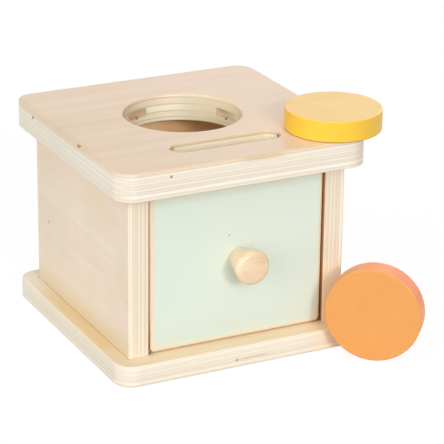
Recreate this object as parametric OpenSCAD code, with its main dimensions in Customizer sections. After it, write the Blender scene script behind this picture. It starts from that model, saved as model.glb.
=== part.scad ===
// Wooden box with a ball hole, a disc slot and a drawer, and its two discs.
// Millimetres. The origin is the middle of the base's underside, the drawer opens towards -Y.

/* [Boards] */
// Width of the top and the base, left to right
board_w = 148; // [136:1:200]
// Depth of the top and the base, front to back
board_d = 148; // [136:1:200]
// Thickness of the base
base_t = 12; // [9:0.5:18]
// Thickness of the top
top_t = 16; // [12:0.5:20]
// Radius of the boards' corners, seen from above
board_corner_r = 10.5; // [6:0.5:18]
// Radius of the sanded edges of the boards
board_edge_r = 1; // [0.4:0.1:2]

/* [Walls] */
// Height of the walls between the two boards
wall_h = 92.5; // [88:0.5:120]
// Thickness of the walls
wall_t = 12; // [9:0.5:15]
// Radius of the walls' sanded upright edges
wall_edge_r = 0.8; // [0.3:0.1:1.5]
// How far the boards stand out past the side walls
side_overhang = 9.3; // [4:0.1:12]
// How far the boards stand out past the front and back ends of the walls
end_overhang = 11; // [4:0.5:14]

/* [Discs] */
// Diameter of a disc
disc_d = 53.5; // [45:0.5:58]
// Thickness of a disc
disc_t = 12; // [9:0.5:14]
// Radius of a disc's rounded edges
disc_edge_r = 0.7; // [0.5:0.1:3]
// How far the lying disc's centre is in from the top's right edge
lying_in_x = 10.3; // [2:0.1:30]
// How far the lying disc's centre is in from the top's front edge
lying_in_y = 23.7; // [15:0.1:40]
// Turn of the standing disc's face from the box's front towards the left, in degrees
standing_turn = 42; // [20:1:60]
// How far the standing disc's centre is in from the base's right edge
standing_in_x = 5; // [0:0.1:20]
// Gap between the standing disc, taken with sharp edges, and the base's front edge
standing_gap = 0.1; // [0.1:0.1:5]

/* [Openings in the top] */
// Diameter of the ball hole
hole_d = 66; // [58:0.5:70]
// How far the hole's centre is behind the board's centre
hole_back = 7; // [0:0.5:10]
// Radius of the sanded edges round the hole and the slot
opening_edge_r = 1; // [0.4:0.1:2]
// Wood left between the hole and the slot
slot_land = 13.8; // [8:0.1:16]
// Width of the slot beyond a disc's thickness
slot_play = 1; // [0.5:0.1:2]
// Length of the slot beyond a disc's diameter
slot_end_play = 11.5; // [4:0.5:14]
// Depth of the pockets' upper face below the top board's upper face
pocket_drop = 6.2; // [4:0.1:7]
// Height of a pocket in the hole's wall
pocket_h = 4.6; // [3:0.1:5]
// Diameter of the cutter that made the pockets
pocket_cutter_d = 18; // [14:0.5:22]
// How far a pocket goes into the hole's wall
pocket_deep = 4; // [2:0.5:6]

/* [Drawer] */
// Thickness of the drawer's front
front_t = 8; // [7:0.5:10]
// How far the drawer's front sits behind the front ends of the walls
drawer_recess = 0.4; // [0:0.1:4]
// Gap between the drawer's front and the left wall
gap_left = 0.5; // [0.3:0.1:2]
// Gap between the drawer's front and the right wall
gap_right = 0.9; // [0.3:0.1:3]
// Gap between the drawer's front and the base
gap_under = 0.5; // [0.3:0.1:2]
// Gap between the drawer's front and the top board
gap_above = 1; // [0.5:0.1:3]
// Gap between the drawer's back and the back wall
gap_behind = 1.5; // [0.5:0.1:5]
// Radius of the front's corners, seen from the front
front_corner_r = 4; // [2:0.5:8]
// Radius of the front's rounded border
front_edge_r = 2; // [1:0.1:3]
// Thickness of the drawer's sides and back
drawer_side_t = 6; // [4:0.5:9]
// Height of the drawer's sides and back edge above the base
drawer_side_h = 70; // [50:0.5:84]
// How far the drawer's sides are set in behind the ends of its front
side_set_in = 0.4; // [0.2:0.1:1]
// Thickness of the drawer's bottom
bottom_t = 4; // [3:0.5:6]
// Height of the drawer's bottom above the base
bottom_up = 5; // [3:0.5:10]
// Depth of the grooves that hold the bottom
groove_deep = 3; // [2:0.5:3.5]
// Room beside the bottom's edges in the grooves
groove_play = 0.1; // [0.05:0.05:0.3]

/* [Knob] */
// How far the knob is right of the middle of the drawer's front
knob_off = 1.1; // [-5:0.1:5]
// How far the knob is above the middle of the drawer's front
knob_up = 1.1; // [-5:0.1:5]
// Length of the knob
knob_len = 18.4; // [15:0.1:24]
// Diameter of the knob where it meets the front
knob_foot_d = 12.4; // [10:0.2:16]
// Largest diameter of the knob
knob_head_d = 19.8; // [17:0.2:26]
// Radius of the round edge of the knob's end
knob_lip_r = 2.5; // [1:0.1:4]

/* [Fasteners] */
// Diameter of a dowel
dowel_d = 6; // [4:0.5:7]
// Length of a dowel
dowel_len = 24; // [18:1:30]
// How far a dowel goes into the top board
dowel_in_top = 10; // [6:0.5:11]
// How far a dowel goes into a side wall
dowel_in_side = 7; // [5:0.5:8]
// Distance of dowels and screws from the ends of the walls
fixing_inset = 23; // [18:0.5:30]
// Diameter of the wood screws
screw_d = 4; // [3:0.5:5]
// Length of the screws in the base
base_screw_len = 40; // [30:1:50]
// Length of the screw in the knob
knob_screw_len = 20; // [14:0.5:22]
// Diameter of a brad
brad_d = 1.4; // [1:0.1:2]
// Length of a brad
brad_len = 16; // [12:0.5:20]
// Distance of the brads from the edges of the piece that they hold
brad_inset = 16; // [12:0.5:22]

/* [Hidden] */
$fn = 96;

// How far every cut runs past the face that it opens
cut = 1;
// Directions of the two pockets, in degrees from the back towards the right
pocket_turns = [-26, 75];

// The case
total_h = base_t + wall_h + top_t;
top_z = base_t + wall_h;
wall_d = board_d - 2 * end_overhang;
wall_x = board_w / 2 - side_overhang - wall_t / 2;
inner_w = board_w - 2 * side_overhang - 2 * wall_t;
back_y = wall_d / 2 - wall_t / 2;
fixing_y = wall_d / 2 - fixing_inset;
fixing_x = inner_w / 2 - fixing_inset;

// The openings in the top
slot_w = disc_t + slot_play;
slot_l = disc_d + slot_end_play;
slot_y = hole_back - hole_d / 2 - slot_land - slot_w / 2;

// The standing disc touches the base with the stretch of its rim that is below the base's edge
standing_h = base_t - board_edge_r;
standing_chord = 2 * sqrt(standing_h * (disc_d - standing_h));
standing_reach = (standing_chord * sin(standing_turn) + disc_t * cos(standing_turn)) / 2;

// The drawer
front_y = -wall_d / 2 + drawer_recess;
front_w = inner_w - gap_left - gap_right;
front_h = wall_h - gap_under - gap_above;
front_z = base_t + gap_under;
drawer_x = (gap_left - gap_right) / 2;
drawer_end_y = wall_d / 2 - wall_t - gap_behind;
box_w = front_w - 2 * side_set_in;
bay_w = box_w - 2 * drawer_side_t;
rabbet_t = front_t / 2;
side_y = front_y + rabbet_t;
bottom_z = base_t + bottom_up;
knob_x = drawer_x + knob_off;
knob_z = front_z + front_h / 2 + knob_up;

// Screw heads, taken from the screw's own diameter as the trade makes them
head_d = 2 * screw_d;
head_h = screw_d / 2;
head_sink = screw_d / 12;
recess_w = screw_d / 4;
recess_h = screw_d / 3;
point_h = 1.5 * screw_d;
brad_head_d = 1.5 * brad_d;
brad_head_h = brad_d / 2;

// Colours of the finishes
birch = "#E8D8C0";
birch_edge = "#F3E4CA";
beech = "#E0B98A";
turned_wood = "#F3D9B0";
mint = "#E1EBDB";
yellow = "#FFD24A";
orange = "#F7A064";
steel = "#B8B8B4";

// Flat outline of a bar with round corners, centred in x and standing on y = 0
module round_bar(w, h, r) {
    translate([-w / 2 + r, 0])
        square([w - 2 * r, h]);
    translate([-w / 2, r])
        square([w, h - 2 * r]);
    for (x = [-w / 2 + r, w / 2 - r], y = [r, h - r])
        translate([x, y])
            circle(r = r);
}

// Right half of that outline, for turning about the y axis
module half_bar(w, h, r) {
    square([w / 2 - r, h]);
    translate([0, r])
        square([w / 2, h - 2 * r]);
    for (y = [r, h - r])
        translate([w / 2 - r, y])
            circle(r = r);
}

// Board with round corners and eased edges all round, standing on z = 0
module eased_board(t) {
    flat_w = board_w - 2 * board_corner_r;
    flat_d = board_d - 2 * board_corner_r;
    rotate([90, 0, 0])
        linear_extrude(flat_d, center = true)
            round_bar(board_w, t, board_edge_r);
    rotate([90, 0, 90])
        linear_extrude(flat_w, center = true)
            round_bar(board_d, t, board_edge_r);
    for (x = [-flat_w / 2, flat_w / 2], y = [-flat_d / 2, flat_d / 2])
        translate([x, y, 0])
            rotate_extrude()
                half_bar(2 * board_corner_r, t, board_edge_r);
}

// Upright plate with eased upright edges, centred in plan and standing on the base
module wall_plate(w, d) {
    translate([0, -d / 2, base_t])
        linear_extrude(wall_h)
            round_bar(w, d, wall_edge_r);
}

// Corner between a face and a sanded edge: what sanding takes away
module edge_waste(r) {
    difference() {
        translate([-cut, -r])
            square([r + cut, r + cut]);
        translate([r, -r])
            circle(r = r);
    }
}

// Dowels between the walls and the top board
module top_dowel_set() {
    for (x = [-wall_x, wall_x], y = [-fixing_y, fixing_y])
        translate([x, y, top_z + dowel_in_top - dowel_len])
            cylinder(h = dowel_len, d = dowel_d);
    for (x = [-fixing_x, fixing_x])
        translate([x, back_y, top_z + dowel_in_top - dowel_len])
            cylinder(h = dowel_len, d = dowel_d);
}

// Dowels from the side walls into the ends of the back wall
module back_dowel_set() {
    for (side = [-1, 1], z = [base_t + fixing_inset, top_z - fixing_inset])
        translate([side * (inner_w / 2 + dowel_in_side), back_y, z])
            rotate([0, -90 * side, 0])
                cylinder(h = dowel_len, d = dowel_d);
}

// Countersunk wood screw without its cross: head at z = 0, point towards +Z
module screw_blank(len) {
    cylinder(h = head_h, d1 = head_d, d2 = screw_d);
    cylinder(h = len - point_h, d = screw_d);
    translate([0, 0, len - point_h])
        cylinder(h = point_h, d1 = screw_d, d2 = screw_d / 4);
}

// The same screw with the cross in its head
module screw(len) {
    difference() {
        screw_blank(len);
        for (turn = [0, 90])
            rotate([0, 0, turn])
                translate([-screw_d / 2, -recess_w / 2, -cut])
                    cube([screw_d, recess_w, cut + recess_h]);
    }
}

// Hole for the screw, with its sunk head
module screw_hole(len) {
    screw_blank(len);
    translate([0, 0, -head_sink - cut])
        cylinder(h = head_sink + cut, d = head_d);
}

// Places of the screws that come up through the base
module at_base_screws() {
    for (x = [-wall_x, wall_x], y = [-fixing_y, fixing_y])
        translate([x, y, head_sink])
            children();
    for (x = [-fixing_x, fixing_x])
        translate([x, back_y, head_sink])
            children();
}

// Place of the screw that holds the knob, pointing out of the drawer
module at_knob_screw() {
    translate([knob_x, front_y + front_t - head_sink, knob_z])
        rotate([90, 0, 0])
            children();
}

// Thin nail with its head at z = 0 and its point towards +Z
module brad() {
    cylinder(h = brad_head_h, d = brad_head_d);
    cylinder(h = brad_len, d = brad_d);
}

// Brads through both drawer sides, at the given distance from the front
module side_brads(y) {
    for (side = [-1, 1], z = [base_t + brad_inset, base_t + drawer_side_h - brad_inset])
        translate([drawer_x + side * box_w / 2, y, z])
            rotate([0, -90 * side, 0])
                brad();
}

// Brads through the drawer sides into its front
module front_brad_set() {
    side_brads(side_y + rabbet_t / 2);
}

// Brads through the drawer sides into its back
module back_brad_set() {
    side_brads(drawer_end_y - drawer_side_t / 2);
}

// Brads up through the drawer's bottom into its back
module bottom_brad_set() {
    for (share = [-1, 0, 1])
        translate([drawer_x + share * (bay_w / 2 - brad_inset), drawer_end_y - drawer_side_t / 2, bottom_z])
            brad();
}

// Space that the bottom panel takes, with or without play at its edges
module bottom_panel(play) {
    w = bay_w + 2 * (groove_deep - play);
    y = front_y + front_t - groove_deep + play;
    translate([drawer_x - w / 2, y, bottom_z])
        cube([w, drawer_end_y - y, bottom_t]);
}

// Round-edged disc standing on z = 0
module disc() {
    rotate_extrude()
        half_bar(disc_d, disc_t, disc_edge_r);
}

// Base board, with the holes for the screws
module base_board() {
    color(birch)
        difference() {
            eased_board(base_t);
            at_base_screws()
                screw_hole(base_screw_len);
        }
}

// Side wall on the left (-1) or the right (1)
module side_wall(side) {
    color(birch)
        difference() {
            translate([side * wall_x, 0, 0])
                wall_plate(wall_t, wall_d);
            at_base_screws()
                screw_blank(base_screw_len);
            top_dowel_set();
            back_dowel_set();
        }
}

// Back wall, between the side walls
module back_wall() {
    color(birch)
        difference() {
            translate([-inner_w / 2, back_y - wall_t / 2, base_t])
                cube([inner_w, wall_t, wall_h]);
            at_base_screws()
                screw_blank(base_screw_len);
            top_dowel_set();
            back_dowel_set();
        }
}

// What sanding takes off the edge of the ball hole, on one face of the board
module hole_edge() {
    rotate_extrude()
        translate([hole_d / 2, 0])
            edge_waste(opening_edge_r);
}

// Ball hole with its sanded edges and the two pockets in its wall
module ball_hole() {
    translate([0, hole_back, 0]) {
        translate([0, 0, top_z - cut])
            cylinder(h = top_t + 2 * cut, d = hole_d);
        translate([0, 0, total_h])
            hole_edge();
        translate([0, 0, top_z])
            rotate([180, 0, 0])
                hole_edge();
        for (turn = pocket_turns)
            rotate([0, 0, -turn])
                translate([0, (hole_d - pocket_cutter_d) / 2 + pocket_deep, total_h - pocket_drop - pocket_h])
                    cylinder(h = pocket_h, d = pocket_cutter_d);
    }
}

// What sanding takes off the edge of the disc slot, on one face of the board
module slot_edge(half_l) {
    for (side = [-1, 1]) {
        translate([side * half_l, 0, 0])
            rotate([0, 0, -90 * side])
                rotate_extrude(angle = 180)
                    translate([slot_w / 2, 0])
                        edge_waste(opening_edge_r);
        translate([0, side * slot_w / 2, 0])
            rotate([90, 0, 90 * side])
                linear_extrude(2 * half_l, center = true)
                    edge_waste(opening_edge_r);
    }
}

// Disc slot with its sanded edges
module disc_slot() {
    half_l = (slot_l - slot_w) / 2;
    translate([0, slot_y, 0]) {
        translate([0, 0, top_z - cut])
            linear_extrude(top_t + 2 * cut) {
                translate([-half_l, -slot_w / 2])
                    square([2 * half_l, slot_w]);
                for (x = [-half_l, half_l])
                    translate([x, 0])
                        circle(d = slot_w);
            }
        translate([0, 0, total_h])
            slot_edge(half_l);
        translate([0, 0, top_z])
            rotate([180, 0, 0])
                slot_edge(half_l);
    }
}

// Top board, with the ball hole, the disc slot and the blind dowel holes
module top_board() {
    color(birch)
        difference() {
            translate([0, 0, top_z])
                eased_board(top_t);
            ball_hole();
            disc_slot();
            top_dowel_set();
        }
}

// Screws that hold the walls on the base
module base_screws() {
    color(steel)
        at_base_screws()
            screw(base_screw_len);
}

// Glued dowels that hold the top board on the walls
module top_dowels() {
    color(beech)
        top_dowel_set();
}

// Glued dowels that hold the back wall between the side walls
module back_wall_dowels() {
    color(beech)
        back_dowel_set();
}

// Drawer front: rounded border, rabbets for the sides and a groove for the bottom
module drawer_front() {
    color(mint)
        difference() {
            intersection() {
                translate([drawer_x, front_y + front_t, front_z])
                    rotate([90, 0, 0])
                        linear_extrude(front_t)
                            round_bar(front_w, front_h, front_corner_r);
                translate([drawer_x, front_y, front_z])
                    linear_extrude(front_h)
                        round_bar(front_w, front_t + front_edge_r, front_edge_r);
                translate([drawer_x, front_y, front_z + front_h / 2])
                    rotate([0, 90, 0])
                        linear_extrude(front_w, center = true)
                            round_bar(front_h, front_t + front_edge_r, front_edge_r);
            }
            for (side = [-1, 1])
                translate([drawer_x + side * (bay_w / 2 + front_w / 2) - front_w / 2, side_y, base_t - cut])
                    cube([front_w, front_t, drawer_side_h + cut]);
            bottom_panel(0);
            front_brad_set();
            at_knob_screw()
                screw_hole(knob_screw_len);
        }
}

// Drawer side on the left (-1) or the right (1), grooved for the bottom
module drawer_side(side) {
    color(birch_edge)
        difference() {
            translate([drawer_x + side * (box_w - drawer_side_t) / 2 - drawer_side_t / 2, side_y, base_t])
                cube([drawer_side_t, drawer_end_y - side_y, drawer_side_h]);
            translate([drawer_x - bay_w / 2 - groove_deep, side_y - cut, bottom_z])
                cube([bay_w + 2 * groove_deep, drawer_end_y - side_y + 2 * cut, bottom_t]);
            front_brad_set();
            back_brad_set();
        }
}

// Drawer back, standing on the bottom between the sides
module drawer_back() {
    back_z = bottom_z + bottom_t;
    color(birch_edge)
        difference() {
            translate([drawer_x - bay_w / 2, drawer_end_y - drawer_side_t, back_z])
                cube([bay_w, drawer_side_t, base_t + drawer_side_h - back_z]);
            back_brad_set();
            bottom_brad_set();
        }
}

// Drawer bottom, held in the grooves and nailed to the back
module drawer_bottom() {
    color(birch_edge)
        difference() {
            bottom_panel(groove_play);
            bottom_brad_set();
        }
}

// Nails at the drawer's front, its back and its bottom
module drawer_front_brads() {
    color(steel)
        front_brad_set();
}
module drawer_back_brads() {
    color(steel)
        back_brad_set();
}
module drawer_bottom_brads() {
    color(steel)
        bottom_brad_set();
}

// Turned knob: a cone that flares to a round-edged end
module drawer_knob() {
    lip_z = knob_len - knob_lip_r;
    color(turned_wood)
        difference() {
            translate([knob_x, front_y, knob_z])
                rotate([90, 0, 0])
                    rotate_extrude() {
                        polygon([[0, 0], [knob_foot_d / 2, 0], [knob_head_d / 2, lip_z], [0, lip_z]]);
                        translate([0, lip_z - knob_lip_r])
                            square([knob_head_d / 2 - knob_lip_r, 2 * knob_lip_r]);
                        translate([knob_head_d / 2 - knob_lip_r, lip_z])
                            circle(r = knob_lip_r);
                    }
            at_knob_screw()
                screw_blank(knob_screw_len);
        }
}

// Screw that holds the knob
module knob_screw() {
    color(steel)
        at_knob_screw()
            screw(knob_screw_len);
}

// Disc that lies on the top board and reaches past its right edge
module yellow_disc() {
    color(yellow)
        translate([board_w / 2 - lying_in_x, -board_d / 2 + lying_in_y, total_h])
            disc();
}

// Disc that stands on its rim, close to the base's front edge
module orange_disc() {
    color(orange)
        translate([board_w / 2 - standing_in_x, -board_d / 2 - standing_gap - standing_reach, disc_d / 2])
            rotate([0, 0, -standing_turn])
                translate([0, disc_t / 2, 0])
                    rotate([90, 0, 0])
                        disc();
}

base_board();
side_wall(-1);  // left_wall
side_wall(1);  // right_wall
back_wall();
top_board();
base_screws();
top_dowels();
back_wall_dowels();
drawer_front();
drawer_side(-1);  // drawer_left_side
drawer_side(1);  // drawer_right_side
drawer_back();
drawer_bottom();
drawer_front_brads();
drawer_back_brads();
drawer_bottom_brads();
drawer_knob();
knob_screw();
yellow_disc();
orange_disc();
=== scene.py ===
"""Object permanence box of plywood, with a ball hole, a disc slot, a drawer and two painted discs."""
import math

import bmesh
import bpy
from mathutils import Matrix, Vector


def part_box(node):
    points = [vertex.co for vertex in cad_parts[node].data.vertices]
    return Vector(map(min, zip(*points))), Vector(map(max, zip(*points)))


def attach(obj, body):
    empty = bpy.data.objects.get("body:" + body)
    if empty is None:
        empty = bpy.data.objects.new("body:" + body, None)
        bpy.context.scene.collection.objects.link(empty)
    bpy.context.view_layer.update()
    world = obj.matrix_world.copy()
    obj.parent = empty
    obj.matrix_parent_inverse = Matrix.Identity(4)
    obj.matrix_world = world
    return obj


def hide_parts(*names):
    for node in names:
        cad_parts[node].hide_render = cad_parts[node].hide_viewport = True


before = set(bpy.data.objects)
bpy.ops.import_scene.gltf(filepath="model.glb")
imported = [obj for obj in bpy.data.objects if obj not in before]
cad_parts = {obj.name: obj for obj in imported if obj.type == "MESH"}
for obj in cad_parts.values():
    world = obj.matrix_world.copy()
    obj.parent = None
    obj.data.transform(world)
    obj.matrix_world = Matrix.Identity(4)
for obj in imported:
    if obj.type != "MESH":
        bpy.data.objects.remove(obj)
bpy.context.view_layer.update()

# Camera
# It stands 1.25 m away, in front of the box and to its left, and looks down on it.
# A long lens at that distance keeps the box's edges nearly parallel, as the photograph has them.
lens = bpy.data.cameras.new("camera")
lens.sensor_width = 36
lens.lens = 179.72
lens.shift_x = -0.0035
lens.shift_y = -0.0641
camera = bpy.data.objects.new("camera", lens)
box_middle = Matrix.Translation((0, 0, 0.06026))
turned_left = Matrix.Rotation(math.radians(-27.025), 4, "Z")
looking_down = Matrix.Rotation(math.radians(90 - 20.559), 4, "X")
tilted = Matrix.Rotation(math.radians(0.7535), 4, "Z")
stepped_back = Matrix.Translation((0.02054, 0.01357, 1.24517))
camera.matrix_world = box_middle @ turned_left @ looking_down @ tilted @ stepped_back
bpy.context.collection.objects.link(camera)
bpy.context.scene.camera = camera
bpy.context.scene.view_settings.view_transform = "Standard"


# Studio
# White paper runs under and behind the box, as in a product studio.
# Broad soft lights stand in front and on the left, weaker ones hang above and stand behind on the right.
def add(tree, kind, links=(), stops=(), **settings):
    """Adds a node with its settings, the links or values of its sockets, and the stops of a colour ramp."""
    node = tree.nodes.new(kind)
    for name, value in settings.items():
        setattr(node.color_ramp if name == "interpolation" else node, name, value)
    for socket, value in dict(links).items():
        if isinstance(value, bpy.types.NodeSocket):
            tree.links.new(value, node.inputs[socket])
        else:
            node.inputs[socket].default_value = value
    for index, (position, shade) in enumerate(stops):
        held = node.color_ramp.elements
        element = held[index] if index < 2 else held.new(position)
        element.position = position
        element.color = shade
    return node


def colour(code):
    """Linear colour of an sRGB hex code."""
    parts = [int(code[at:at + 2], 16) / 255 for at in (1, 3, 5)]
    return (*[v / 12.92 if v < 0.04045 else ((v + 0.055) / 1.055) ** 2.4 for v in parts], 1)


def seen_directly(tree):
    """1 for a ray from the camera, a shiny surface or glass, 0 for light on its way through the room."""
    rays = add(tree, "ShaderNodeLightPath").outputs
    seen = rays["Is Camera Ray"]
    for kind in ("Is Glossy Ray", "Is Transmission Ray"):
        seen = add(tree, "ShaderNodeMath", {0: seen, 1: rays[kind]}, operation="MAXIMUM").outputs[0]
    return seen


world = bpy.data.worlds.new("white_room")
world.use_nodes = True
room = world.node_tree
room.nodes.clear()
room_light = 0.26
strength = add(room, "ShaderNodeMapRange", {0: seen_directly(room), 3: room_light, 4: 1}).outputs[0]
backdrop = add(room, "ShaderNodeBackground", {"Color": colour("#FFFFFF"), "Strength": strength})
add(room, "ShaderNodeOutputWorld", {"Surface": backdrop.outputs[0]})
bpy.context.scene.world = world


def soft_light(name, turn, height, size, power):
    """A wide, soft lamp: turned from the front towards the right, at a height in degrees."""
    lamp = bpy.data.lights.new(name, "SUN")
    lamp.angle = math.radians(size)
    lamp.energy = power * math.pi
    stand = bpy.data.objects.new(name, lamp)
    stand.rotation_euler = (math.radians(90 - height), 0, math.radians(turn))
    bpy.context.collection.objects.link(stand)


soft_light("key_light", -1, 21, 12, 0.26)
soft_light("front_light", -14, 22, 40, 0.30)
soft_light("fill_light", -75, 18, 60, 0.58)
soft_light("top_light", 0, 78, 60, 0.16)
soft_light("back_light", 120, 24, 50, 0.19)

# The paper glows where it is seen directly, so that it is white there and yet holds a faint shadow.
paper = bpy.data.materials.new("white_paper")
paper.use_nodes = True
tree = paper.node_tree
tree.nodes.clear()
glow_share, glow_strength = 0.8, 1.14
matt = add(tree, "ShaderNodeBsdfDiffuse", {"Color": colour("#C3C3C3")})
glow = add(tree, "ShaderNodeEmission", {"Color": colour("#FFFFFF"), "Strength": glow_strength})
share = add(tree, "ShaderNodeMath", {0: seen_directly(tree), 1: glow_share}, operation="MULTIPLY")
lit = add(tree, "ShaderNodeMixShader", {0: share.outputs[0], 1: matt.outputs[0], 2: glow.outputs[0]})
add(tree, "ShaderNodeOutputMaterial", {"Surface": lit.outputs[0]})

floor_half = 3
sheet = bpy.data.meshes.new("paper")
corners = [(x * floor_half, y * floor_half, 0) for x, y in ((-1, -1), (1, -1), (1, 1), (-1, 1))]
sheet.from_pydata(corners, [], [(0, 1, 2, 3)])
floor = bpy.data.objects.new("paper", sheet)
floor.data.materials.append(paper)
bpy.context.collection.objects.link(floor)


# Base board
# A 12 mm board of birch plywood, its corners sawn round and its edges sanded.
# The walls stand on it and are screwed on from below.
MM = 0.001


def soft_share(value, none_at, full_at, most=1.0):
    """Share of a tint: none where the value is none_at, most of it where it is full_at, and soft between."""
    limits = {0: value, 1: none_at, 2: full_at, 4: most}
    return add(value.id_data, "ShaderNodeMapRange", limits, interpolation_type="SMOOTHSTEP").outputs[0]


def plywood(name, node, lay, depth_from, plies, veneer, sawn, seed, ripple=0.0, fine=0.3, skin=0.0):
    """Birch plywood: cross-laid veneers with thin glue lines between them, sanded and oiled.

    That gives the eye a fine grain and soft figure on the faces, and pale and tan lines on every sawn edge.
    lay names the axes along the face's grain, across it, and through the plies.
    plies holds each ply's thickness in mm, and how pale it looks on the sheet's long edges and on its ends.
    veneer holds the face's dark, middle and light colours, and sawn the tan, cream and glue of the edges.
    ripple and fine say how strongly the waves and the fibres of the veneer show.
    skin says how much the face ply keeps the veneer's colour where it is sawn.
    """
    material = bpy.data.materials.new(name)
    material.use_nodes = True
    tree = material.node_tree
    shader = tree.nodes["Principled BSDF"]
    coordinates = add(tree, "ShaderNodeTexCoord").outputs
    point = add(tree, "ShaderNodeVectorMath", {0: coordinates["Object"], 1: [1 / MM] * 3},
                operation="MULTIPLY", name="point_in_mm").outputs[0]
    place = add(tree, "ShaderNodeSeparateXYZ", {0: point}, name="place_in_mm").outputs
    along, across, through = (place[axis] for axis in lay)
    facing = add(tree, "ShaderNodeSeparateXYZ", {0: coordinates["Normal"]}, name="facing").outputs

    # Depth below the chosen face. Real veneers are not quite flat, so it wanders by up to 0.15 mm.
    axis = "XYZ".index(lay[2])
    low, high = (corner[axis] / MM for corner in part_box(node))
    start, sense = (high, -1) if depth_from == "high" else (low, 1)
    depth = add(tree, "ShaderNodeMath", {0: through, 1: sense, 2: -start * sense}, operation="MULTIPLY_ADD")
    waves_per_mm = [0.028, 0.028, 0.028]
    waves_per_mm[axis] = 0.3
    slow = add(tree, "ShaderNodeVectorMath", {0: point, 1: waves_per_mm}, operation="MULTIPLY").outputs[0]
    wander = add(tree, "ShaderNodeTexNoise", {"Vector": slow, "Scale": 1, "Detail": 2, "W": seed},
                 noise_dimensions="4D").outputs["Fac"]
    wander = add(tree, "ShaderNodeMapRange", {0: wander, 1: 0.25, 2: 0.75, 3: -0.15, 4: 0.15}).outputs[0]
    depth = add(tree, "ShaderNodeMath", {0: depth.outputs[0], 1: wander}, operation="ADD",
                name="depth_in_mm").outputs[0]

    # The ply at that depth: red and blue hold its paleness on long edges and on ends, green is 1 in a glue
    # line, and alpha is 1 for a cross ply.
    glue_width = 0.22
    total = sum(thick for thick, on_edge, on_end in plies)
    stops, top = [], 0
    for index, (thick, on_edge, on_end) in enumerate(plies):
        stops.append((top / total, (on_edge, 0, on_end, index % 2)))
        top += thick
        if index < len(plies) - 1:
            stops.append(((top - glue_width) / total, (on_edge, 1, on_end, index % 2)))
    stack = add(tree, "ShaderNodeMapRange", {0: depth, 2: total}).outputs[0]
    stack = add(tree, "ShaderNodeValToRGB", {0: stack}, stops, interpolation="CONSTANT").outputs
    ply = add(tree, "ShaderNodeSeparateColor", {0: stack["Color"]}).outputs
    cross = stack["Alpha"]

    # Fibres run along each ply's own grain, so the coordinates swap for the cross plies.
    straight = add(tree, "ShaderNodeCombineXYZ", {0: along, 1: across, 2: through}).outputs[0]
    swapped = add(tree, "ShaderNodeCombineXYZ", {0: across, 1: along, 2: through}).outputs[0]
    grain = add(tree, "ShaderNodeMix", {0: cross, 4: straight, 5: swapped}, data_type="VECTOR").outputs[1]

    def figure(length, width, detail, distortion=0.0):
        """Noise drawn out along the grain, with its length and width in mm."""
        per_mm = (1 / length, 1 / width, 1 / width)
        drawn_out = add(tree, "ShaderNodeVectorMath", {0: grain, 1: per_mm}, operation="MULTIPLY").outputs[0]
        inputs = {"Vector": drawn_out, "Scale": 1, "Detail": detail, "Distortion": distortion,
                  "W": seed + length}
        return add(tree, "ShaderNodeTexNoise", inputs, noise_dimensions="4D").outputs["Fac"]

    # Birch fibres are some 0.1 mm wide. Here they are 0.9 mm wide, the least that shows at this size.
    fibres = figure(26, 0.9, 3)
    bands = figure(120, 8, 2, 0.4)
    waves = figure(9, 45, 1, 0.6)
    middle_level, banding = 0.55, 0.55
    level = middle_level - 0.5 * (banding + fine + ripple)
    for pattern, strength in ((bands, banding), (fibres, fine), (waves, ripple)):
        weighted = {0: pattern, 1: strength, 2: level}
        level = add(tree, "ShaderNodeMath", weighted, operation="MULTIPLY_ADD").outputs[0]
    dark, middle, light = (colour(code) for code in veneer)
    stops = [(0.34, dark), (0.76, light), (middle_level, middle)]
    face_tone = add(tree, "ShaderNodeValToRGB", {0: level}, stops).outputs[0]

    # A ply looks pale where it is cut across its grain and tan where it is cut along it.
    end_on = add(tree, "ShaderNodeMath", {0: facing[lay[0]], 1: 2}, operation="POWER").outputs[0]
    pale = add(tree, "ShaderNodeMix", {0: soft_share(end_on, 0.2, 0.8), 2: ply[0], 3: ply[2]}).outputs[0]
    face_ply = plies[0][0]
    in_skin = soft_share(depth, face_ply, face_ply - 0.4, skin)
    in_glue = add(tree, "ShaderNodeMath", {0: ply[1], 1: 0.4}, operation="MULTIPLY").outputs[0]
    in_fleck = soft_share(figure(7, 0.6, 2), 0.62, 0.8, 0.2)
    flat = add(tree, "ShaderNodeMath", {0: facing[lay[2]]}, operation="ABSOLUTE").outputs[0]
    on_face = soft_share(flat, 0.72, 0.97)

    # These shares lay their colours over the tan wood in turn. The node has its two colours in sockets 6
    # and 7 and its result in 2.
    tone, cream, brown = (colour(code) for code in sawn)
    for share, over in ((pale, cream), (in_skin, face_tone), (in_glue, brown), (in_fleck, brown),
                        (on_face, face_tone)):
        tone = add(tree, "ShaderNodeMix", {0: share, 6: tone, 7: over}, data_type="RGBA").outputs[2]
    tree.links.new(tone, shader.inputs["Base Color"])

    # Sanded and oiled wood: satin, a little duller where the fibres stand up.
    dull = add(tree, "ShaderNodeMapRange", {0: fibres, 3: 0.36, 4: 0.56})
    tree.links.new(dull.outputs[0], shader.inputs["Roughness"])
    relief = add(tree, "ShaderNodeBump", {"Height": fibres, "Strength": 0.35, "Distance": 0.08 * MM})
    tree.links.new(relief.outputs[0], shader.inputs["Normal"])
    return material


def finish_with(node, material):
    """Gives a CAD node its finish."""
    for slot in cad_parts[node].material_slots:
        slot.material = material


def tinted(material, code, *shares):
    """Lays one more colour over a material, as strongly as all the shares multiplied together."""
    tree = material.node_tree
    shader = tree.nodes["Principled BSDF"]
    strength = shares[0]
    for share in shares[1:]:
        strength = add(tree, "ShaderNodeMath", {0: strength, 1: share}, operation="MULTIPLY").outputs[0]
    under = shader.inputs["Base Color"].links[0].from_socket
    tone = add(tree, "ShaderNodeMix", {0: strength, 6: under, 7: colour(code)}, data_type="RGBA").outputs[2]
    tree.links.new(tone, shader.inputs["Base Color"])


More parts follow.
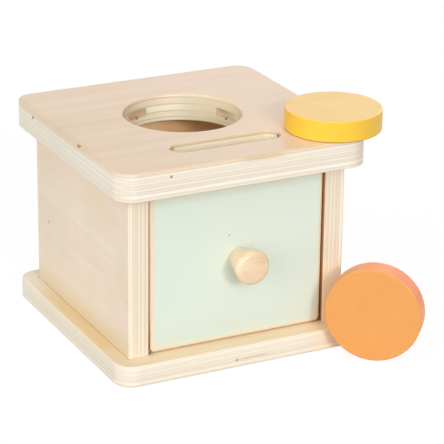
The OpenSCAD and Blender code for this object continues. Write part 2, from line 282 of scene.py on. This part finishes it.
def point_on(material):
    """Where a point of a plywood piece is: one socket with its place in mm."""
    return material.node_tree.nodes["point_in_mm"].outputs[0]


def place_on(material):
    """The same place as three sockets named X, Y and Z, in mm."""
    return material.node_tree.nodes["place_in_mm"].outputs


def facing_of(material):
    """Which way a plywood piece's surface faces: sockets named X, Y and Z, each from -1 to 1."""
    return material.node_tree.nodes["facing"].outputs


def spot_share(material, place, radius, most=1.0):
    """Share of a small round spot on plywood, full up to 0.4 of its radius. Place and radius in mm."""
    ends = {0: point_on(material), 1: place}
    far = add(material.node_tree, "ShaderNodeVectorMath", ends, operation="DISTANCE").outputs["Value"]
    return soft_share(far, radius, 0.4 * radius, most)


def beyond(value, limit, middle=0):
    """How far a length in mm lies beyond a limit, on either side of a middle."""
    tree = value.id_data
    off = add(tree, "ShaderNodeMath", {0: value, 1: middle}, operation="SUBTRACT").outputs[0]
    size = add(tree, "ShaderNodeMath", {0: off}, operation="ABSOLUTE").outputs[0]
    return add(tree, "ShaderNodeMath", {0: size, 1: limit}, operation="SUBTRACT").outputs[0]


def front_left_corner(material, most):
    """Two shares that together cover the round corner between a board's front and left sides."""
    facing = facing_of(material)
    return soft_share(facing["X"], -0.15, -0.6), soft_share(facing["Y"], -0.15, -0.6, most)


glue_brown = "#BFA57C"
board_sawn = ("#DFD1B9", "#F7EFE0", glue_brown)
base_ply = plywood(
    "birch_plywood_base", "base_board", "XYZ", "high",
    plies=[(0.9, 0.6, 0.5), (1.3, 1.0, 0.65), (1.6, 0.6, 0.5), (1.6, 0.75, 0.6), (1.0, 0.6, 0.4),
           (1.0, 0.6, 0.7), (1.4, 0.3, 0.3), (1.9, 0.75, 0.6), (1.3, 0.3, 0.25)],
    veneer=("#E8D0AC", "#EFDBBA", "#F3E2C6"), sawn=board_sawn, seed=1.0)
finish_with("base_board", base_ply)

# Painted shade and reflected light: the ledge along the foot of the side walls is honey-coloured, paler
# and greyer at its rear, where the light falls off, and the joint is dark. Less of the honey lies in front
# of the drawer.
place = place_on(base_ply)
upward = soft_share(facing_of(base_ply)["Z"], 0.5, 1)
wall_side, wall_end = (-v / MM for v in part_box("left_wall")[0][:2])
beside = beyond(place["X"], wall_side)
before = beyond(place["Y"], wall_end)
out = add(base_ply.node_tree, "ShaderNodeMath", {0: beside, 1: before}, operation="MAXIMUM").outputs[0]
at_side = soft_share(beside, -14, -10)
tinted(base_ply, "#E9BE7E", upward, soft_share(at_side, 1, 0, 0.08), soft_share(out, 9, 0))
not_at_ends = soft_share(beyond(place["Y"], 0), 75, 30, 0.62)
tinted(base_ply, "#E0C283", upward, at_side, not_at_ends, soft_share(out, 13, 4))
tinted(base_ply, "#EDE6D8", upward, soft_share(beside, -2, 0), soft_share(place["Y"], 10, 60, 0.6))
tinted(base_ply, "#94602E", upward, soft_share(beside, -12, -11), soft_share(out, 0.7, 0.2, 0.5))

# Painted shade: the base is dark brown in the gaps beside the drawer, a little behind the drawer's face.
wall_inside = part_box("back_wall")[1][0] / MM
from_wall = beyond(place["X"], wall_inside)
by_wall = soft_share(from_wall, -2.2, -0.8, 0.8), soft_share(from_wall, 1, 0)
tinted(base_ply, "#84500E", upward, *by_wall, soft_share(before, -16, -8), soft_share(before, -0.8, -1.5))

# The sawn edge in front has a small knot and a brown streak, and painted shade makes it greyer round the
# left corner.
tinted(base_ply, "#C0A67C", spot_share(base_ply, (-5.4, -74, 4.5), 1.2))
tinted(base_ply, "#D8CDB8", *front_left_corner(base_ply, 0.3))
streak_x, streak_z, streak_half = 5, 4.7, 9
along_streak = soft_share(beyond(place["X"], streak_half, streak_x), 2, -4)
across_streak = soft_share(beyond(place["Z"], 0, streak_z), 0.6, 0.1, 0.6)
tinted(base_ply, "#B89B70", along_streak, across_streak)

# Side walls
# Two upright plates of 12 mm plywood, their front edges sanded and bare. Their face grain lies level.
# Pale cross plies make the upright lines on these edges.
wall_plies = [
    (0.9, 0.5, 0.55), (1.4, 0.5, 0.95), (1.0, 0.5, 0.4), (0.9, 0.5, 0.55), (1.2, 0.5, 0.25), (1.2, 0.5, 0.65),
    (1.1, 0.5, 0.3), (1.2, 0.5, 0.65), (1.1, 0.5, 0.2), (1.2, 0.5, 0.55), (0.8, 0.5, 0.3)]
wall_sawn = ("#E2D2B9", "#FAF0DD", glue_brown)
wall_look = {"veneer": ("#E8D3BB", "#EFDCC6", "#F4E4D0"), "sawn": wall_sawn, "ripple": 0.15, "fine": 0.12}
left_ply = plywood("birch_plywood_left", "left_wall", "YZX", "low", wall_plies, seed=2.0, **wall_look)
finish_with("left_wall", left_ply)
from_inside = wall_plies[::-1]
right_ply = plywood("birch_plywood_right", "right_wall", "YZX", "low", from_inside, seed=3.0, **wall_look)
finish_with("right_wall", right_ply)

# Their faces are cloudy. Low down they are darker and yellower, as painted shade and light from the
# ledge, and towards the rear they are darker, as painted shade. The left one has a small speck.
for ply in (left_ply, right_ply):
    tree = ply.node_tree
    place = place_on(ply)
    sideways = add(tree, "ShaderNodeMath", {0: facing_of(ply)["X"]}, operation="ABSOLUTE").outputs[0]
    tinted(ply, "#D4C08F", sideways, soft_share(place["Z"], 28, 11, 0.58))
    tinted(ply, "#CDBE9F", sideways, soft_share(place["Y"], 0, 48, 0.19))
    cloudy = {"Vector": point_on(ply), "Scale": 0.03, "Detail": 1}
    clouds = add(tree, "ShaderNodeTexNoise", cloudy).outputs["Fac"]
    tinted(ply, "#E6D2A6", sideways, soft_share(clouds, 0.45, 0.75, 0.28))
tinted(left_ply, "#B8A184", spot_share(left_ply, (-64.7, 46.3, 52.1), 1.3))

# Painted reflected light: the standing disc's orange is painted on the base beside it, and a pale warm
# patch lightens the disc's shadow on the right wall.
tinted(base_ply, "#FFD3A0", spot_share(base_ply, (62, -68, 10), 26, 0.4))
tinted(right_ply, "#FFE6C4", spot_share(right_ply, (64, -64, 22), 34, 0.8))

# Painted light and shade: the inner faces are a pale honey colour that brightens the inside of the box,
# and brown towards the front, darkest low down, as shade in the gaps beside the drawer.
for ply, none_at, full_at in ((left_ply, 0.15, 0.6), (right_ply, -0.5, -0.9)):
    place = place_on(ply)
    inward = soft_share(facing_of(ply)["X"], none_at, full_at)
    near_front = soft_share(place["Y"], -40, -60)
    tinted(ply, "#FBD9A8", inward, 0.8)
    tinted(ply, "#B5804A", inward, near_front, 0.85)
    tinted(ply, "#743E0A", inward, near_front, soft_share(place["Z"], 50, 18, 0.45))

# Back wall
# A plate of the same plywood, doweled and glued between the side walls.
# Its inner face can be seen through the ball hole. It is painted a pale honey colour, as light falling in
# through the hole, and more orange towards its right, as painted shade.
back_ply = plywood("birch_plywood_back", "back_wall", "XZY", "low", wall_plies, seed=4.0, **wall_look)
finish_with("back_wall", back_ply)
inward = soft_share(facing_of(back_ply)["Y"], -0.5, -0.9)
tinted(back_ply, "#FFDEB2", inward)
tinted(back_ply, "#FFC07C", inward, soft_share(place_on(back_ply)["X"], -5, 15, 0.5))

# Top board
# A 16 mm board with the same round corners, glued on the walls with dowels. The hole, its two pockets and
# the slot are routed and sanded. It has had one more coat of oil, so its face is a little glossy.
top_ply = plywood(
    "birch_plywood_top", "top_board", "XYZ", "high",
    plies=[(2.0, 0.35, 0.2), (1.5, 0.85, 0.5), (2.0, 0.55, 0.75), (0.9, 0.95, 0.45), (2.3, 0.4, 0.7),
           (1.2, 0.85, 0.5), (1.9, 0.35, 0.6), (1.8, 1.0, 0.4), (0.9, 0.4, 0.5), (1.5, 0.75, 0.5)],
    veneer=("#DFC1A2", "#E8CCAE", "#EED6BB"), sawn=board_sawn, seed=5.0, skin=0.6)
finish_with("top_board", top_ply)
tree = top_ply.node_tree
shader = tree.nodes["Principled BSDF"]
shader.inputs["Coat Weight"].default_value = 0.5
shader.inputs["Coat Roughness"].default_value = 0.12
place = place_on(top_ply)
facing = facing_of(top_ply)
depth = tree.nodes["depth_in_mm"].outputs[0]

# The hole's wall shows each ply as a band of its own. The bands are painted pale, the deeper ones most,
# as light falling into the hole. Each line gives a band's upper and lower depth in mm, how strongly it is
# tinted, and its colour.
hole_middle, hole_radius = (0, 7, 0), 33
off_centre = point_on(top_ply)
for operation, other in (("SUBTRACT", hole_middle), ("MULTIPLY", (1, 1, 0))):
    off_centre = add(tree, "ShaderNodeVectorMath", {0: off_centre, 1: other}, operation=operation).outputs[0]
off_centre = add(tree, "ShaderNodeVectorMath", {0: off_centre}, operation="LENGTH").outputs["Value"]
in_hole = soft_share(off_centre, hole_radius + 1.5, hole_radius + 0.5)
right_of_pocket = soft_share(place["X"], -28, -22)
hole_bands = [
    (0.9, 1.9, 0.6, "#FAECD4"),
    (2.4, 5.4, 0.5, "#FAE8C6"),
    (6.2, 9.6, 1.0, "#FFF8DE"),
    (9.8, 11.8, 0.9, "#FFEFD2"),
    (11.8, 16.5, 0.9, "#FFF4D8")]
for upper, lower, most, code in hole_bands:
    band = soft_share(depth, upper - 0.5, upper + 0.3), soft_share(depth, lower + 0.3, lower - 0.5, most)
    tinted(top_ply, code, in_hole, right_of_pocket, *band)

# The cutter's heat browned the glue lines between the bands. The wall is browner on its left and paler on
# its right.
for glue_depth in (1.9, 5.7, 9.8, 13.4):
    tinted(top_ply, "#BC9654", in_hole, soft_share(beyond(depth, 0, glue_depth), 0.6, 0.1, 0.4))
tinted(top_ply, "#D2AC74", in_hole, soft_share(place["X"], -8, -26, 0.5))
tinted(top_ply, "#FFE8B8", in_hole, soft_share(place["X"], 13, 24, 0.6))

# The pockets are a darker tan at the ends that face the middle of the hole's far wall.
pocket_top, pocket_foot, pocket_deep = 6.2, 10.8, 4
in_pocket = (
    soft_share(off_centre, hole_radius + 0.05, hole_radius + 0.3),
    soft_share(off_centre, hole_radius + pocket_deep + 2, hole_radius + pocket_deep + 1),
    soft_share(depth, pocket_top - 0.6, pocket_top - 0.2),
    soft_share(depth, pocket_foot + 0.6, pocket_foot + 0.2))
for spot in ((-9, 39, 112), (28.8, 23.5, 112)):
    tinted(top_ply, "#CEA77B", *in_pocket, spot_share(top_ply, spot, 13, 0.85))

# The sawn edge is greyer along the left side, and tan in its upper plies there towards the front. Round
# its front corner and at the right end it is greyer and darker, as painted shade.
on_left_side = soft_share(facing["X"], -0.3, -0.7)
tinted(top_ply, "#CEC6AC", on_left_side, soft_share(place["Y"], -50, 20, 0.3))
tinted(top_ply, "#D0C4B0", *front_left_corner(top_ply, 0.4))
tinted(top_ply, "#CDB99E", soft_share(place["X"], 60, 68), soft_share(facing["Z"], 0.6, 0.3), 0.3)
along_left = soft_share(place["X"], -69.5, -73, 0.3), soft_share(place["Y"], -60, -20)
tinted(top_ply, "#C8AD7F", *along_left, soft_share(depth, 4.5, 3.5))

# Painted light: the face is a little paler towards its right, where more light falls.
tinted(top_ply, "#F3D8BE", soft_share(facing["Z"], 0.9, 0.99), soft_share(place["X"], -35, 30, 0.5))

# Sanding went through the face ply along the arrises and in the slot, and the tan ply below shows there.
worn = soft_share(facing["Z"], 0.2, 0.5), soft_share(facing["Z"], 0.98, 0.86, 0.5)
tinted(top_ply, "#D9BD92", *worn, soft_share(depth, 3.2, 2.4))
worn_front = soft_share(place["X"], -8, 2), soft_share(place["X"], 24, 16, 0.35)
tinted(top_ply, "#C8A468", *worn_front, soft_share(place["Y"], -72, -73.2), soft_share(depth, 3.6, 2.6))
slot_y, slot_half_width, slot_half_length = -46.3, 6.5, 32.5
in_slot = (
    soft_share(beyond(place["Y"], slot_half_width, slot_y), 1.4, 1),
    soft_share(beyond(place["X"], slot_half_length), 2, 1.5),
    soft_share(facing["Z"], 0.97, 0.8))
tinted(top_ply, "#C4AA74", *in_slot, soft_share(depth, 2.1, 1.5, 0.42))
tinted(top_ply, "#FFF1D0", *in_slot, soft_share(depth, 1.6, 2.2, 0.45))

# Small burns from the cutter at the slot's ends, painted shadow spots at the foot of the pockets, and nicks
# and chips along the edge.
for spot, size, code in (((-29.2, -40.6, 118.0), 2.8, "#D2B88C"), ((32.4, -45.5, 118.6), 1.4, "#835B3E"),
                         ((-13.9, 36.9, 110.0), 1.4, "#8C5A30"), ((-19.9, 33.4, 111.0), 1.4, "#8C5A30"),
                         ((31.8, 15.8, 109.8), 1.4, "#8C5A30"), ((-74, 44.2, 116.5), 1.5, "#6B4E2C"),
                         ((-73.8, -18.7, 119.9), 1.1, "#9A5C30"), ((-73.8, -20.0, 120.0), 1.2, "#A8683A"),
                         ((-73.7, -21.3, 120.1), 1.1, "#B0774A"), ((-45.2, -74, 116.3), 1.1, "#B58A60")):
    tinted(top_ply, code, spot_share(top_ply, spot, size))

# Screws, brads and dowels
# Zinc-plated countersunk wood screws hold the walls on the base, and one holds the knob. Zinc-plated brads
# hold the drawer together. Glued beech dowels hold the top board and the back wall.
# Zinc is a dull, pale metal. Its crystals are finer than the 1.1 mm at which they are drawn to show.
zinc = bpy.data.materials.new("zinc_plating")
zinc.use_nodes = True
tree = zinc.node_tree
shader = tree.nodes["Principled BSDF"]
shader.inputs["Metallic"].default_value = 1
spot = add(tree, "ShaderNodeTexCoord").outputs["Object"]
crystals = add(tree, "ShaderNodeTexNoise", {"Vector": spot, "Scale": 900, "Detail": 3}).outputs["Fac"]
sheen = add(tree, "ShaderNodeValToRGB", {0: crystals}, [(0.3, colour("#A9A9A2")), (0.7, colour("#CBCBC6"))])
tree.links.new(sheen.outputs[0], shader.inputs["Base Color"])
dull = add(tree, "ShaderNodeMapRange", {0: crystals, 3: 0.24, 4: 0.42})
tree.links.new(dull.outputs[0], shader.inputs["Roughness"])
for node in ("base_screws", "knob_screw", "drawer_front_brads", "drawer_back_brads", "drawer_bottom_brads"):
    finish_with(node, zinc)

# Beech is a pinkish tan wood with short dark flecks. They are drawn 1.1 mm wide and 11 mm long to show.
beech = bpy.data.materials.new("beech_dowel")
beech.use_nodes = True
tree = beech.node_tree
shader = tree.nodes["Principled BSDF"]
spot = add(tree, "ShaderNodeTexCoord").outputs["Object"]
drawn_out = add(tree, "ShaderNodeVectorMath", {0: spot, 1: (900, 900, 90)}, operation="MULTIPLY").outputs[0]
flecks = add(tree, "ShaderNodeTexNoise", {"Vector": drawn_out, "Scale": 1, "Detail": 3}).outputs["Fac"]
tone = add(tree, "ShaderNodeValToRGB", {0: flecks}, [(0.35, colour("#CFA274")), (0.65, colour("#E2BC8F"))])
tree.links.new(tone.outputs[0], shader.inputs["Base Color"])
shader.inputs["Roughness"].default_value = 0.6
for node in ("top_dowels", "back_wall_dowels"):
    finish_with(node, beech)

# Drawer front
# An 8 mm plate with a rounded border. Its face is sprayed mint green inside a mask with round corners, and
# the border stays bare wood. The thin paint ends softly, and the fibres under it show a little in relief.
front_plies = [(1.2, tone, tone) for tone in (0.6, 0.9, 0.5, 0.9, 0.5, 0.9, 0.6)]
front_ply = plywood("mint_paint_on_birch", "drawer_front", "XZY", "low", front_plies,
                    veneer=("#E4D1B0", "#EBD9BA", "#F0E0C5"), sawn=wall_sawn, seed=6.0)
finish_with("drawer_front", front_ply)
tree = front_ply.node_tree
place = place_on(front_ply)
facing = facing_of(front_ply)

# Widths of the bare border, the radius of the mask's corners and half the width of its soft rim, in mm.
border_left, border_right, border_ends = 2.5, 2.3, 2.4
mask_round, mask_blur = 3, 1
low, high = (Vector(corner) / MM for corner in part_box("drawer_front"))
low += Vector((border_left, 0, border_ends))
high -= Vector((border_right, 0, border_ends))
middle = (low + high) / 2
half = (high - low) / 2 - Vector((1, 1, 1)) * mask_round

# How far a point lies outside the mask's middle part. Depth doesn't count, so that part is 1 m deep.
half.y = 1 / MM
off = add(tree, "ShaderNodeVectorMath", {0: point_on(front_ply), 1: middle}, operation="SUBTRACT").outputs[0]
off = add(tree, "ShaderNodeVectorMath", {0: off}, operation="ABSOLUTE").outputs[0]
off = add(tree, "ShaderNodeVectorMath", {0: off, 1: half}, operation="SUBTRACT").outputs[0]
off = add(tree, "ShaderNodeVectorMath", {0: off, 1: (0, 0, 0)}, operation="MAXIMUM").outputs[0]
off = add(tree, "ShaderNodeVectorMath", {0: off}, operation="LENGTH").outputs["Value"]
painted = soft_share(off, mask_round + mask_blur, mask_round - mask_blur)
forward = soft_share(facing["Y"], -0.4, -0.8)
tinted(front_ply, "#DCE6D8", painted, forward)

# The front is greyer at its foot and beige at its lower right corner. Painted shade makes it brown under
# the top board and in its lower corners, and honey to dark brown down its left end, in the gap beside the
# wall. Above the knob is a speck of dust.
tinted(front_ply, "#B6BEB3", painted, forward, soft_share(place["Z"], 34, 15, 0.18))
tinted(front_ply, "#BDB78F", forward, soft_share(place["Z"], 94, 99, 0.2))
for spot, size, code in (((51, -62.4, 14), 6, "#E2CFAC"), ((-52, -62.3, 13.2), 2.2, "#8A5A1C"),
                         ((52, -62.3, 13.2), 3.2, "#8A5A1C")):
    tinted(front_ply, code, spot_share(front_ply, spot, size, 0.7))
tinted(front_ply, "#B4B69C", spot_share(front_ply, (-5.2, -62.4, 73.1), 0.8))
at_left_end = soft_share(facing["X"], -0.5, -0.9)
tinted(front_ply, "#DAA85A", at_left_end, soft_share(place["Z"], 95, 50, 0.7))
tinted(front_ply, "#8A5A08", at_left_end, soft_share(place["Z"], 44, 13, 0.85))

# Drawer sides, back and bottom
# Thin plywood: the sides are nailed into the front's rabbets, the bottom slides in grooves.
# They are bare and can be seen when the drawer is open.
thin_plies = [(1.2, tone, 1.3 - tone) for tone in (0.4, 0.9, 0.4, 0.9, 0.4)]
for node, lay, seed in (("drawer_left_side", "YZX", 7.0), ("drawer_right_side", "YZX", 8.0),
                        ("drawer_back", "XZY", 9.0), ("drawer_bottom", "YXZ", 10.0)):
    bare_ply = plywood("birch_plywood_" + node, node, lay, "low", thin_plies,
                       veneer=("#EBDABC", "#F2E3CA", "#F8ECD8"), sawn=board_sawn, seed=seed)
    finish_with(node, bare_ply)


# Knob
# Turned birch, sanded and waxed: a cone that flares to a round-edged, slightly domed end.
# A screw from inside the drawer holds it.
def turned(name, outline, steps, place):
    """Solid turned about its Z axis from an outline of (radius, height) points, then put in its place."""
    form = bmesh.new()
    rings = []
    for radius, height in outline:
        angles = [2 * math.pi * step / steps for step in range(steps)] if radius else [0]
        rings.append([form.verts.new((radius * math.cos(a), radius * math.sin(a), height)) for a in angles])
    for lower, upper in zip(rings, rings[1:]):
        for step in range(steps):
            after = (step + 1) % steps
            around = [ring[at % len(ring)] for ring, at in
                      ((lower, step), (lower, after), (upper, after), (upper, step))]
            form.faces.new(list(dict.fromkeys(around)))
    mesh = bpy.data.meshes.new(name)
    form.to_mesh(mesh)
    form.free()
    mesh.transform(place)
    mesh.shade_smooth()
    piece = bpy.data.objects.new(name, mesh)
    bpy.context.collection.objects.link(piece)
    evened = piece.modifiers.new("even_shading", "WEIGHTED_NORMAL")
    evened.weight = 100
    return piece


def arc(centre, radius, start, end, steps):
    """Points on an arc of an outline, from one angle in degrees to another."""
    angles = [math.radians(start + (end - start) * step / steps) for step in range(steps + 1)]
    return [(centre[0] + radius * math.cos(a), centre[1] + radius * math.sin(a)) for a in angles]


low, high = (Vector(corner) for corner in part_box("drawer_knob"))
knob_length = high.y - low.y
head_radius = (high.x - low.x) / 2
foot_radius = 6.2 * MM
foot_inset, foot_rise = 0.3 * MM, 0.4 * MM
lip = 3 * MM
crown = 0.5 * MM
flare_angle, crown_angle = -14, 84
lip_centre = (head_radius - lip, knob_length - crown - lip)
outline = [(0, 0), (foot_radius - foot_inset, 0), (foot_radius, foot_rise)]
outline += arc(lip_centre, lip, flare_angle, crown_angle, 12)
outline += [(share * lip_centre[0], knob_length - crown * share ** 2) for share in (0.75, 0.5, 0.25)]
outline += [(0, knob_length)]
foot = Matrix.Translation(((low.x + high.x) / 2, high.y, (low.z + high.z) / 2))
towards_front = Matrix.Rotation(math.radians(90), 4, "X")
knob = turned("knob", outline, steps=96, place=foot @ towards_front)

# Waxed birch has a soft gloss, growth rings some 5 mm apart, and fibres drawn 1.4 mm wide to show.
birch = bpy.data.materials.new("turned_birch")
birch.use_nodes = True
tree = birch.node_tree
shader = tree.nodes["Principled BSDF"]
spot = add(tree, "ShaderNodeTexCoord").outputs["Object"]
drawn_out = add(tree, "ShaderNodeVectorMath", {0: spot, 1: (700, 70, 700)}, operation="MULTIPLY").outputs[0]
fibres = add(tree, "ShaderNodeTexNoise", {"Vector": drawn_out, "Scale": 1, "Detail": 3}).outputs["Fac"]
drawn_out = add(tree, "ShaderNodeVectorMath", {0: spot, 1: (60, 50, 190)}, operation="MULTIPLY").outputs[0]
rings = add(tree, "ShaderNodeTexNoise", {"Vector": drawn_out, "Scale": 1, "Detail": 1}).outputs["Fac"]
level = add(tree, "ShaderNodeMath", {0: fibres, 1: 0.35, 2: 0.05}, operation="MULTIPLY_ADD").outputs[0]
level = add(tree, "ShaderNodeMath", {0: rings, 1: 0.6, 2: level}, operation="MULTIPLY_ADD").outputs[0]
tone = add(tree, "ShaderNodeValToRGB", {0: level},
           [(0.36, colour("#E5C297")), (0.7, colour("#F1DBBE")), (0.52, colour("#EBD0AC"))])
tree.links.new(tone.outputs[0], shader.inputs["Base Color"])
shader.inputs["Roughness"].default_value = 0.3
shader.inputs["Coat Weight"].default_value = 0.08
shader.inputs["Coat Roughness"].default_value = 0.12
knob.data.materials.append(birch)
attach(knob, "drawer")
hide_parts("drawer_knob")

# Discs
# Two turned beech discs with rounded edges, sprayed yellow and orange. The yellow one lies on the top board,
# the orange one stands on its rim in front of the box. The paint is satin, and a little cloudy.
disc_radius, disc_thick, disc_edge = 26.75 * MM, 12 * MM, 0.7 * MM


def facing_towards(paint, direction):
    """How squarely a disc's surface faces a direction: 1 towards it, 0 across it, -1 away from it."""
    normal = add(paint.node_tree, "ShaderNodeTexCoord").outputs["Normal"]
    ends = {0: normal, 1: direction}
    return add(paint.node_tree, "ShaderNodeVectorMath", ends, operation="DOT_PRODUCT").outputs["Value"]


def painted_disc(name, node, body, slot, place, gloss, code, deep, rim):
    """One disc, with a paint for its faces, cloudy with a deeper tone, and one for its rim."""
    outline = [(0, 0)] + arc((disc_radius - disc_edge, disc_edge), disc_edge, -90, 0, 8)
    outline += arc((disc_radius - disc_edge, disc_thick - disc_edge), disc_edge, 0, 90, 8) + [(0, disc_thick)]
    disc = turned(name, outline, steps=192, place=place)
    paint = bpy.data.materials.new(slot)
    paint.use_nodes = True
    tree = paint.node_tree
    shader = tree.nodes["Principled BSDF"]
    spot = add(tree, "ShaderNodeTexCoord").outputs["Object"]
    per_metre = (45, 600, 600)
    drawn_out = add(tree, "ShaderNodeVectorMath", {0: spot, 1: per_metre}, operation="MULTIPLY").outputs[0]
    grain = add(tree, "ShaderNodeTexNoise", {"Vector": drawn_out, "Scale": 1, "Detail": 3}).outputs["Fac"]
    clouds = add(tree, "ShaderNodeTexNoise", {"Vector": spot, "Scale": 70, "Detail": 2}).outputs["Fac"]
    level = add(tree, "ShaderNodeMath", {0: grain, 1: 0.3, 2: 0.1}, operation="MULTIPLY_ADD").outputs[0]
    level = add(tree, "ShaderNodeMath", {0: clouds, 1: 0.5, 2: level}, operation="MULTIPLY_ADD").outputs[0]
    coat = add(tree, "ShaderNodeValToRGB", {0: level}, [(0.3, colour(deep)), (0.6, colour(code))])
    tree.links.new(coat.outputs[0], shader.inputs["Base Color"])
    shader.inputs["Roughness"].default_value = 0.4
    shader.inputs["Coat Roughness"].default_value = 0.2
    along_axis = facing_towards(paint, place.to_3x3() @ Vector((0, 0, 1)))
    along_axis = add(tree, "ShaderNodeMath", {0: along_axis}, operation="ABSOLUTE").outputs[0]
    tree.links.new(soft_share(along_axis, 0.5, 0.9, gloss), shader.inputs["Coat Weight"])
    tinted(paint, rim, soft_share(along_axis, 0.8, 0.4))
    relief = add(tree, "ShaderNodeBump", {"Height": grain, "Strength": 0.2, "Distance": 0.06 * MM})
    tree.links.new(relief.outputs[0], shader.inputs["Normal"])
    disc.data.materials.append(paint)
    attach(disc, body)
    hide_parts(node)
    return paint


# The yellow disc's underside shows a little where it juts out over the top board. It is painted dark
# brown there, as its contact shadow.
low, high = (Vector(corner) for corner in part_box("yellow_disc"))
place = Matrix.Translation(((low.x + high.x) / 2, (low.y + high.y) / 2, low.z))
yellow = painted_disc("yellow_disc_painted", "yellow_disc", "lying_disc", "yellow_paint_on_beech", place,
                      1.0, "#F8C63F", "#F3BC33", "#F3C136")
tinted(yellow, "#6B4A12", soft_share(facing_towards(yellow, (0, 0, -1)), 0.15, 0.6, 0.85))

# The orange disc's rim is redder at its upper right and browner on its left.
low, high = (Vector(corner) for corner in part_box("orange_disc"))
to_the_left = Matrix.Rotation(math.radians(-42), 4, "Z")
centred = Matrix.Translation((0, 0, -disc_thick / 2))
place = Matrix.Translation((low + high) / 2) @ to_the_left @ towards_front @ centred
orange = painted_disc("orange_disc_painted", "orange_disc", "standing_disc", "orange_paint_on_beech", place,
                      0.1, "#E09A51", "#DD944A", "#F99D5F")
upper_right, left = (place.to_3x3() @ Vector(way).normalized() for way in ((1, 1, 0), (-1, 0, 0)))
tinted(orange, "#F08748", soft_share(facing_towards(orange, upper_right), 0.82, 0.98))
tinted(orange, "#E09A51", soft_share(facing_towards(orange, left), 0.2, 0.6))
